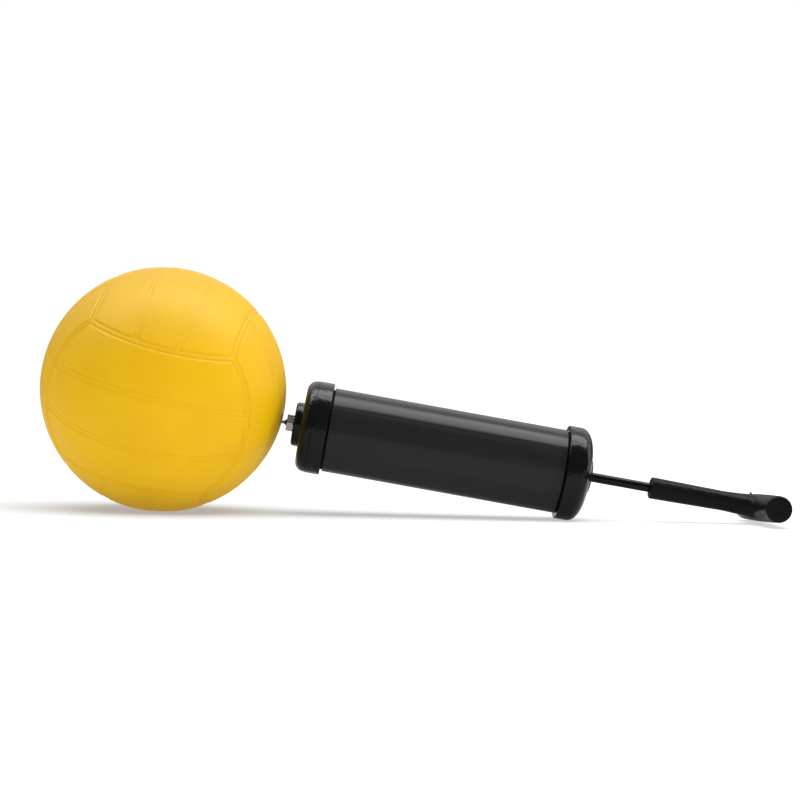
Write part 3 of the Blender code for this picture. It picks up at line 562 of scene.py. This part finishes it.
def ball_cover():
    """A cube blown up to a hollow ball of 18 panels, three on each face, with a hole for the valve."""
    seam = LINE_PLACES[2]
    seams, edges = seam_points((-1, -seam, seam, 1)), seam_points((-1, 1))
    skin = bmesh.new()
    bmesh.ops.create_cube(skin, size=2)
    bmesh.ops.subdivide_edges(skin, edges=skin.edges, cuts=2 * HALF_LINES - 1, use_grid_fill=True)
    for vert in skin.verts:
        spot = Vector(on_ball(vert.co))
        vert.co = spot * (BALL_RADIUS - groove_depth(spot * BALL_RADIUS, seams, edges))
    bmesh.ops.recalc_face_normals(skin, faces=skin.faces)
    inside = bmesh.ops.create_uvsphere(
        skin, u_segments=64, v_segments=32, radius=BALL_RADIUS - COVER_WALL)["verts"]
    bmesh.ops.reverse_faces(skin, faces=list({f for v in inside for f in v.link_faces}))
    hole = bar(-VALVE_CUT, VALVE_CUT, NOSE_RADIUS + GAP)
    moved(hole, BALL.inverted() @ PUMP @ Matrix.Translation((ENTRY, 0, 0)))
    skin = moved(cut(skin, hole), BALL)
    for vert in skin.verts:
        vert.co.z = max(vert.co.z, 0)  # its own weight flattens it on the floor
    cover = piece("cover", skin, YELLOW, "ball", "ball_cover", Matrix(), sharp=50)
    to_ball = BALL.inverted()
    depths = []
    for vert in cover.data.vertices:
        spot = to_ball @ vert.co
        outer = spot.length > BALL_RADIUS - 2 * GROOVE_DEPTH
        depth = groove_depth(spot.normalized() * BALL_RADIUS, seams, edges)
        depths.append(depth / GROOVE_DEPTH if outer else 0.0)
    cover.data.attributes.new("groove", "FLOAT", "POINT").data.foreach_set("value", depths)


ball_cover()

# ---------------------------------------------------------------- needle


def thread_ridge(front, back, radius):
    """A screw thread's ridge, wound round the pump's axis and sunk a little into its shank."""
    shape = bmesh.new()
    foot = radius - THREAD_DEPTH - THREAD_SUNK
    corners = [
        (front - THREAD_FOOT, foot), (front + THREAD_FOOT, foot),
        (front + THREAD_CREST, radius), (front - THREAD_CREST, radius),
    ]
    ring = [shape.verts.new((station, 0, r)) for station, r in corners]
    shape.faces.new(ring)
    turns = (back - front) / THREAD_PITCH
    steps = round(turns * THREAD_STEPS)
    bmesh.ops.spin(
        shape, geom=shape.verts[:] + shape.edges[:] + shape.faces[:], cent=(0, 0, 0), axis=(1, 0, 0),
        dvec=((back - front) / steps, 0, 0), angle=2 * math.pi * turns, steps=steps,
    )
    return tidied(shape)


def needle_base():
    """Hexagon with turned-off corners, a neck that sweeps up from the tube, and a threaded shank."""
    corner = BASE_ACROSS_FLATS / 2 / math.cos(math.pi / 6)
    hexagon = bmesh.new()
    bmesh.ops.create_circle(hexagon, cap_ends=True, segments=6, radius=corner)
    raised = bmesh.ops.extrude_face_region(hexagon, geom=hexagon.faces[:])["geom"]
    raised = [item for item in raised if isinstance(item, bmesh.types.BMVert)]
    bmesh.ops.translate(hexagon, verts=raised, vec=(0, 0, BASE_BACK - BASE_FRONT))
    bmesh.ops.recalc_face_normals(hexagon, faces=hexagon.faces)
    moved(hexagon, Matrix.Translation((BASE_FRONT, 0, 0)) @ Matrix.Rotation(math.pi / 2, 4, "Y"))
    blank = turned([
        (BASE_FRONT - GAP, 0, 0), (BASE_FRONT - GAP, corner - BASE_CHAMFER - GAP, 0),
        (BASE_FRONT + BASE_CHAMFER, corner, 0), (BASE_BACK - BASE_CHAMFER, corner, 0),
        (BASE_BACK + GAP, corner - BASE_CHAMFER - GAP, 0), (BASE_BACK + GAP, 0, 0)])
    hexagon = modified(hexagon, "BOOLEAN", blank, operation="INTERSECT", solver="EXACT")
    neck_front = BASE_FRONT - BASE_NECK_LENGTH
    tail = BASE_BACK + SHANK_LENGTH
    core = SHANK_RADIUS - THREAD_DEPTH
    shank = turned([
        (neck_front, 0, 0), (neck_front, NEEDLE_RADIUS + GAP / 2, 0),
        (BASE_FRONT - BASE_NECK_LENGTH * BASE_NECK_WAIST, NEEDLE_RADIUS + 2 * GAP, 0),
        (BASE_FRONT, BASE_NECK_RADIUS, 0), (BASE_FRONT + BASE_CHAMFER, BASE_NECK_RADIUS, 0),
        (BASE_BACK - BASE_CHAMFER, SHANK_RADIUS, 0), (BASE_BACK + THREAD_PITCH / 2, SHANK_RADIUS, 0),
        (BASE_BACK + THREAD_PITCH, core, 0), (tail, core, EASED_EDGE), (tail, 0, 0)], sides=SLIM)
    whole = joined(hexagon, shank)
    whole = joined(whole, thread_ridge(BASE_BACK + THREAD_PITCH, tail - SHANK_PLAIN, SHANK_RADIUS))
    whole = cut(whole, bar(BASE_FRONT - 3 * OVERCUT, tail + 3 * OVERCUT, NEEDLE_RADIUS + GAP / 2))
    piece("needle_hexagon", whole, NICKEL, "needle", "needle_base", sharp=30)


def needle_tube():
    """Thin tube with a closed round tip and an air port in its side."""
    inner_tip = NEEDLE_TIP + NEEDLE_RADIUS
    tube = turned([
        (NEEDLE_TIP, 0, 0), (NEEDLE_TIP, NEEDLE_RADIUS, NEEDLE_TIP_ROUND),
        (NEEDLE_BACK, NEEDLE_RADIUS, HAIR_EDGE), (NEEDLE_BACK, NEEDLE_BORE, HAIR_EDGE),
        (inner_tip, NEEDLE_BORE, EASED_EDGE), (inner_tip, 0, 0)], sides=32)
    port = bar(0, 2 * NEEDLE_RADIUS, PORT_RADIUS, sides=24)
    port_place = Matrix.Translation((NEEDLE_TIP + PORT_FROM_TIP, 0, 0))
    moved(port, port_place @ Matrix.Rotation(-math.pi / 2, 4, "Z"))
    piece("needle_pin", cut(tube, port), NEEDLE_STEEL, "needle", "needle_tube")


needle_base()
needle_tube()

# ---------------------------------------------------------------- pump body


def front_cap():
    """Screw cap with a rounded nose, a spout, and a fine parting line round its shoulder."""
    shoulder = FRONT_CAP_RADIUS - PARTING_STEP
    line = FRONT_CAP_ROUND + PARTING_BEHIND
    cap = turned([
        (-SPOUT_LENGTH, SPOUT_HOLE, EASED_EDGE), (-SPOUT_LENGTH, SPOUT_RADIUS, SPOUT_ROUND),
        (0, SPOUT_RADIUS, SOFT_EDGE), (0, shoulder, FRONT_CAP_BEVEL), (line, shoulder, 0),
        (line + PARTING_STEP, shoulder - PARTING_STEP, 0),
        (line + 2 * PARTING_STEP, FRONT_CAP_RADIUS, HAIR_EDGE),
        (FRONT_CAP_LENGTH, FRONT_CAP_RADIUS, RIM_ROUND),
        (FRONT_CAP_LENGTH, CAP_BORE + MOUTH_CHAMFER, HAIR_EDGE),
        (FRONT_CAP_LENGTH - MOUTH_CHAMFER, CAP_BORE, 0),
        (FRONT_PLATE, CAP_BORE, 0), (FRONT_PLATE, SPOUT_HOLE, 0)], steps=8)
    piece("nose_cap", cap, CAP_BLACK, "pump_body", "front_cap", sharp=30)


def barrel():
    """Tube with a turned-down neck at each end, leaving a groove beside each cap, darkened by painted
    shade.
    """
    front = FRONT_CAP_LENGTH + NECK_SHOWING
    back = REAR_RIM - REAR_NECK_SHOWING
    tube = turned([
        (BARREL_FRONT, BARREL_BORE, EASED_EDGE), (BARREL_FRONT, NECK_RADIUS, EASED_EDGE),
        (front, NECK_RADIUS, 0), (front, BARREL_RADIUS, EASED_EDGE),
        (back, BARREL_RADIUS, EASED_EDGE), (back, NECK_RADIUS, 0),
        (BARREL_BACK, NECK_RADIUS, EASED_EDGE), (BARREL_BACK, BARREL_BORE, EASED_EDGE)], steps=4)
    piece("tube", tube, GLOSS_BLACK, "pump_body", "barrel")


def quarter(station, radius, reach, rise, steps, squareness=1.0):
    """Corners along a quarter of an ellipse, or of a fuller curve where the squareness is under 1.

    They run from the curve's widest radius to its furthest station.
    """
    corners = []
    for k in range(steps + 1):
        angle = math.pi / 2 * k / steps
        along, out = math.sin(angle) ** squareness, max(0.0, math.cos(angle)) ** squareness
        corners.append((station + reach * along, radius + rise * out, 0))
    return corners


def rear_cap():
    """Domed screw cap, with a boss inside for the rod's bush."""
    hole = GUIDE_SLEEVE_RADIUS + GAP
    seat = BARREL_BACK + GAP
    boss = hole + REAR_CAP_WALL
    inner_back = REAR_FACE - REAR_CAP_WALL
    dome = quarter(
        REAR_DOME, REAR_DOME_FLAT, REAR_FACE - REAR_DOME, REAR_CAP_RADIUS - REAR_DOME_FLAT, steps=28,
        squareness=REAR_DOME_SQUARENESS)
    inside = quarter(seat, boss, inner_back - seat, BARREL_BORE - boss, steps=12)
    cap = turned([
        (seat, CAP_BORE, 0), (REAR_RIM + MOUTH_CHAMFER, CAP_BORE, 0),
        (REAR_RIM, CAP_BORE + MOUTH_CHAMFER, HAIR_EDGE), (REAR_RIM, REAR_CAP_RADIUS, RIM_ROUND)]
        + dome
        + [(REAR_FACE, hole, CRISP_EDGE), (GUIDE_FRONT + GAP, hole, 0), (GUIDE_FRONT + GAP, boss, 0)]
        + inside[::-1])
    piece("domed_cap", cap, CAP_BLACK, "pump_body", "rear_cap", sharp=30)


def rod_guide():
    """Flanged bush that the rod runs in."""
    hole = ROD_RADIUS + GAP
    seat = REAR_FACE + GAP
    bush = turned([
        (GUIDE_FRONT, hole, CRISP_EDGE), (GUIDE_FRONT, GUIDE_SLEEVE_RADIUS, EASED_EDGE),
        (seat, GUIDE_SLEEVE_RADIUS, 0), (seat, GUIDE_FLANGE_RADIUS, HAIR_EDGE),
        (GUIDE_BACK, GUIDE_FLANGE_RADIUS, GUIDE_FLANGE_ROUND), (GUIDE_BACK, hole, EASED_EDGE)],
        sides=96)
    piece("bush", bush, CAP_BLACK, "pump_body", "rod_guide", sharp=30)


front_cap()
barrel()
rear_cap()
rod_guide()

# ---------------------------------------------------------------- rod and handle


def rod():
    """Round rod, turned down in front where the piston sits."""
    pin = turned([
        (ROD_FRONT, 0, 0), (ROD_FRONT, SPIGOT_RADIUS, SOFT_EDGE), (ROD_SHOULDER, SPIGOT_RADIUS, 0),
        (ROD_SHOULDER, ROD_RADIUS, CRISP_EDGE), (ROD_BACK, ROD_RADIUS, SOFT_EDGE), (ROD_BACK, 0, 0)],
        sides=SLIM)
    piece("piston_rod", pin, BLACK_STEEL, "handle_rod", "rod")


def flare(share):
    """Half width and half height of the stem, at a share of the way from its end to the grip."""
    start = 1 - FLARE_LENGTH / STEM_TO_GRIP
    if share < start:
        radius = STEM_END_RADIUS + (STEM_RADIUS - STEM_END_RADIUS) * share / start
        return radius, radius
    grown = (share - start) / (1 - start)
    spread = 1 - math.sqrt(max(0.0, 1 - grown**FLARE_CURVE))
    half_width = STEM_RADIUS + (FLARE_HALF_WIDTH - STEM_RADIUS) * spread
    return half_width, STEM_RADIUS + (GRIP_RADIUS - STEM_RADIUS) * grown**FLARE_THICKENING


def stem():
    """Round stem that spreads to a wide flat oval: one ring drawn out section by section."""
    shape = bmesh.new()
    ring = bmesh.ops.create_circle(shape, cap_ends=True, segments=SLIM, radius=1)["verts"]
    bmesh.ops.rotate(shape, verts=ring, matrix=Matrix.Rotation(math.pi / 2, 3, "Y"))
    inset = STEM_END_RADIUS - STEM_ROUND
    bmesh.ops.scale(shape, verts=ring, vec=(1, inset, inset))
    sections = []
    for angle in (math.pi / 12 * k for k in range(1, 7)):
        radius = inset + STEM_ROUND * math.sin(angle)
        sections.append((STEM_ROUND * (1 - math.cos(angle)), radius, radius))
    sections += [(STEM_TO_GRIP * share, *flare(share)) for share in FLARE_SHARES]
    station, width, tall = 0.0, inset, inset
    edges = shape.edges[:]
    for next_station, next_width, next_tall in sections:
        drawn = bmesh.ops.extrude_edge_only(shape, edges=edges)["geom"]
        verts = [item for item in drawn if isinstance(item, bmesh.types.BMVert)]
        edges = [item for item in drawn if isinstance(item, bmesh.types.BMEdge)]
        bmesh.ops.translate(shape, verts=verts, vec=(next_station - station, 0, 0))
        bmesh.ops.scale(shape, verts=verts, vec=(1, next_width / width, next_tall / tall))
        station, width, tall = next_station, next_width, next_tall
    bmesh.ops.holes_fill(shape, edges=edges, sides=SLIM)
    return tidied(shape)


def grip():
    """Crosswise grip, fullest in the middle, with flat ends."""
    half = GRIP_LENGTH / 2
    last = 0.9 * half
    body = [
        (x, GRIP_RADIUS + (GRIP_END_RADIUS - GRIP_RADIUS) * (x / half) ** 2, 0)
        for x in np.linspace(-last, last, 19)
    ]
    shape = turned(
        [(-half, 0, 0), (-half, GRIP_END_RADIUS, GRIP_END_ROUND)] + body
        + [(half, GRIP_END_RADIUS, GRIP_END_ROUND), (half, 0, 0)], sides=SLIM)
    return moved(shape, Matrix.Translation((STEM_TO_GRIP, 0, 0)) @ Matrix.Rotation(math.pi / 2, 4, "Z"))


def handle():
    """T-handle moulded in one: stem and grip run into each other, with the rod's socket in the stem."""
    whole = modified(joined(stem(), grip()), "REMESH", mode="VOXEL", voxel_size=VOXEL)
    flare_start = STEM_TO_GRIP - FLARE_LENGTH
    junction = [v for v in whole.verts if v.co.x > flare_start and abs(v.co.y) < MELTED_HALF_WIDTH]
    for _ in range(10):
        bmesh.ops.smooth_vert(
            whole, verts=junction, factor=0.5, use_axis_x=True, use_axis_y=True, use_axis_z=True)
    whole = cut(whole, bar(-OVERCUT, ROD_IN_HANDLE + GAP, ROD_RADIUS + GAP))
    nib = bar(0, GRIP_RADIUS + NIB_HEIGHT, NIB_RADIUS, sides=24)
    moved(nib, Matrix.Rotation(-math.pi / 2, 4, "Y"))
    moved(nib, Matrix.Translation((STEM_TO_GRIP + NIB_BEHIND, NIB_BESIDE, 0)))
    whole = joined(whole, nib)
    place = PUMP @ Matrix.Translation((STEM_FRONT, 0, 0)) @ Matrix.Rotation(HANDLE_TURN, 4, "X")
    piece(
        "t_handle", whole, HANDLE_BLACK, "handle_rod", "handle", place, sharp=45)


rod()
handle()

# ---------------------------------------------------------------- CAD pieces that stay as they are

CAD_FINISHES = {
    "ball_bladder": BUTYL,
    "valve_housing": SOFT_RUBBER,
    "valve_plug": SOFT_RUBBER,
    "needle_washer": SOFT_RUBBER,
    "front_gasket": SOFT_RUBBER,
    "outlet_insert": BRASS,
    "piston_head": ACETAL,
    "piston_ring": SOFT_RUBBER,
    "front_piston_washer": ZINC,
    "rear_piston_washer": ZINC,
    "piston_nut": ZINC,
}
for name, finish in CAD_FINISHES.items():
    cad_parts[name].material_slots[0].material = finish

# ---------------------------------------------------------------- floor, light and camera

# The floor is grey, but a lamp of its own lights it to white, so that little colour bounces on it.
FLOOR_GREY = "#808080"
FLOOR_HALF_WIDTH = 30
# It also glows, from the first strength to the second over the fade. The fade is a distance from under
# the ball, in metres, with the floor stretched first.
FLOOR_SEEN = (0.36, 1.0)  # for the camera
FLOOR_LIT = (0.5, 0.65)  # on matt surfaces
FLOOR_MIRRORED = 0.08  # in gloss, all over
SEEN_IN_GLOSS = 0.2  # share of the camera's glow that gloss shows
FADE = (0.1, 1.5)
FADE_STRETCH = (2.0, 3.5, 1)
FADE_SHIFT = (0.25, 0, 0)

# Strengths of the world's white, beside 1.0 for the camera.
MATT_SIDES = (0.2, 1.0)  # on matt surfaces, from in front of the object and from behind it
MIRRORED_FRONT = 0.12  # in gloss, from in front
MIRRORED_SKY = (0.1, 1.3)  # in gloss, from behind, low down and higher up
FRONT_TO_BACK = (-0.1, 0.5)  # where a mirrored direction's Y turns from front to back
SKY_HEIGHTS = (0.1, 0.6)  # its Z, low down and higher up

PICTURE_WIDTH = 800  # pixels
FOCAL_LENGTH = 1850  # pixels
SENSOR_WIDTH = 36  # millimetres
CAMERA_PLACE = (-0.03630, -0.96652, 0.05815)
CAMERA_YAW = math.radians(1.806)  # to the right
CAMERA_PITCH = math.radians(-0.138)  # downwards, so the camera looks up a little
CAMERA_ROLL = math.radians(1.394)


def seen_directly(tree, path):
    """1 where the camera looks, also through something clear, and 0 for light on the object."""
    return add(tree, "ShaderNodeMath", {
        0: path.outputs["Is Camera Ray"], 1: path.outputs["Is Transmission Ray"]},
        operation="MAXIMUM").outputs[0]


def floor():
    """A pale floor that carries the object's shadow and fades to white away from it. Returns it."""
    shape = bmesh.new()
    bmesh.ops.create_grid(shape, x_segments=4, y_segments=4, size=FLOOR_HALF_WIDTH)
    ground = loose_object("floor", shape)
    finish = bpy.data.materials.new("pale_floor")
    finish.use_nodes = True
    tree = finish.node_tree
    shader = tree.nodes["Principled BSDF"]
    shader.inputs["Base Color"].default_value = linear(FLOOR_GREY)
    shader.inputs["Roughness"].default_value = 0.9
    shader.inputs["Specular IOR Level"].default_value = 0.0
    path = add(tree, "ShaderNodeLightPath")
    seen = add(tree, "ShaderNodeMath", {
        0: path.outputs["Is Glossy Ray"], 1: SEEN_IN_GLOSS, 2: seen_directly(tree, path)},
        operation="MULTIPLY_ADD")
    point = add(tree, "ShaderNodeTexCoord").outputs["Object"]
    away = add(tree, "ShaderNodeVectorMath", {
        0: point, 1: FADE_STRETCH, 2: FADE_SHIFT}, operation="MULTIPLY_ADD")
    away = add(tree, "ShaderNodeVectorMath", {0: away.outputs[0]}, operation="LENGTH")
    fade = {"Value": away.outputs["Value"], "From Min": FADE[0], "From Max": FADE[1]}
    glow = add(tree, "ShaderNodeMapRange", {**fade, "To Min": FLOOR_SEEN[0], "To Max": FLOOR_SEEN[1]})
    lit = add(tree, "ShaderNodeMapRange", {**fade, "To Min": FLOOR_LIT[0], "To Max": FLOOR_LIT[1]})
    others = add(tree, "ShaderNodeMix", {
        "Factor": path.outputs["Is Glossy Ray"], "A": lit.outputs["Result"], "B": FLOOR_MIRRORED})
    strength = add(tree, "ShaderNodeMix", {
        "Factor": seen.outputs[0], "A": others.outputs["Result"], "B": glow.outputs["Result"]})
    white = add(tree, "ShaderNodeEmission", {
        "Color": (1, 1, 1, 1), "Strength": strength.outputs["Result"]})
    both = add(tree, "ShaderNodeAddShader", {0: shader.outputs["BSDF"], 1: white.outputs["Emission"]})
    tree.links.new(both.outputs["Shader"], tree.nodes["Material Output"].inputs["Surface"])
    ground.data.materials.append(finish)
    return ground


def surroundings():
    """White behind the object for the camera, and a studio that is pale behind and dark in front."""
    world = bpy.data.worlds.new("studio")
    bpy.context.scene.world = world
    world.use_nodes = True
    tree = world.node_tree
    background = tree.nodes["Background"]
    background.inputs["Color"].default_value = (1, 1, 1, 1)
    path = add(tree, "ShaderNodeLightPath")
    direction = add(tree, "ShaderNodeTexCoord").outputs["Generated"]
    parts = add(tree, "ShaderNodeSeparateXYZ", {"Vector": direction})
    matt = add(tree, "ShaderNodeMapRange", {
        "Value": parts.outputs["Y"], "From Min": -1.0, "From Max": 1.0,
        "To Min": MATT_SIDES[0], "To Max": MATT_SIDES[1]})
    behind = add(tree, "ShaderNodeMapRange", {
        "Value": parts.outputs["Y"], "From Min": FRONT_TO_BACK[0], "From Max": FRONT_TO_BACK[1],
        "To Min": 0.0, "To Max": 1.0})
    sky = add(tree, "ShaderNodeMapRange", {
        "Value": parts.outputs["Z"], "From Min": SKY_HEIGHTS[0], "From Max": SKY_HEIGHTS[1],
        "To Min": MIRRORED_SKY[0], "To Max": MIRRORED_SKY[1]})
    mirrored = add(tree, "ShaderNodeMix", {
        "Factor": behind.outputs["Result"], "A": MIRRORED_FRONT, "B": sky.outputs["Result"]})
    soft = add(tree, "ShaderNodeMix", {
        "Factor": path.outputs["Is Glossy Ray"], "A": matt.outputs["Result"],
        "B": mirrored.outputs["Result"]})
    strength = add(tree, "ShaderNodeMix", {
        "Factor": seen_directly(tree, path), "A": soft.outputs["Result"], "B": 1.0})
    tree.links.new(strength.outputs["Result"], background.inputs["Strength"])


def softbox(name, place, aim, width, depth, power, seen_by="both"):
    """A rectangular lamp. Seen_by says which surfaces it lights: matt, gloss or both."""
    lamp = bpy.data.lights.new(name, "AREA")
    lamp.shape = "RECTANGLE"
    lamp.size, lamp.size_y, lamp.energy = width, depth, power
    item = bpy.data.objects.new(name, lamp)
    item.location = place
    item.visible_diffuse = seen_by != "gloss"
    item.visible_glossy = seen_by != "matt"
    item.rotation_euler = (Vector(aim) - Vector(place)).to_track_quat("-Z", "Y").to_euler()
    bpy.context.scene.collection.objects.link(item)
    return item


def floor_lamp(ground):
    """A soft lamp that lights the floor alone."""
    lamp = softbox(
        "floor_lamp", place=(-0.05, -0.1, 1.0), aim=(-0.05, 0, 0), width=1.4, depth=1.2, power=34.0,
        seen_by="matt")
    only_floor = bpy.data.collections.new("only_floor")
    only_floor.objects.link(ground)
    lamp.light_linking.receiver_collection = only_floor


def camera():
    """As in the photograph: a metre away, 58 mm above the floor and rolled by 1.4 degrees."""
    level = math.cos(CAMERA_PITCH)
    ahead = Vector((
        math.sin(CAMERA_YAW) * level, math.cos(CAMERA_YAW) * level, -math.sin(CAMERA_PITCH)))
    right = Vector((math.cos(CAMERA_YAW), -math.sin(CAMERA_YAW), 0))
    up = right.cross(ahead)
    right, up = (
        math.cos(CAMERA_ROLL) * right + math.sin(CAMERA_ROLL) * up,
        math.cos(CAMERA_ROLL) * up - math.sin(CAMERA_ROLL) * right,
    )
    lens = bpy.data.cameras.new("camera")
    lens.sensor_width = SENSOR_WIDTH
    lens.lens = SENSOR_WIDTH * FOCAL_LENGTH / PICTURE_WIDTH
    item = bpy.data.objects.new("camera", lens)
    turn = Matrix((right, up, -ahead)).transposed().to_4x4()
    item.matrix_world = Matrix.Translation(CAMERA_PLACE) @ turn
    bpy.context.scene.collection.objects.link(item)
    bpy.context.scene.camera = item


floor_lamp(floor())
surroundings()
AT_BALL, AT_HANDLE = (-0.1, 0, 0.06), (0.14, 0, 0.03)
softbox("key", (0.35, -0.35, 1.0), (0, 0, 0), width=2.0, depth=0.6, power=7.5, seen_by="matt")
softbox("left", (-1.2, -0.5, 0.5), AT_BALL, width=0.6, depth=0.6, power=0.8, seen_by="matt")
softbox("side", (1.2, -0.6, 0.4), AT_BALL, width=0.6, depth=0.6, power=3.0, seen_by="matt")
softbox("shine", (0, 0.035, 1.0), (0, 0, 0), width=2.2, depth=0.57, power=27.4, seen_by="gloss")
softbox("rim", (1.2, 0.45, 0.35), AT_HANDLE, width=0.5, depth=0.7, power=1.6, seen_by="gloss")
camera()
bpy.context.scene.view_settings.view_transform = "Standard"
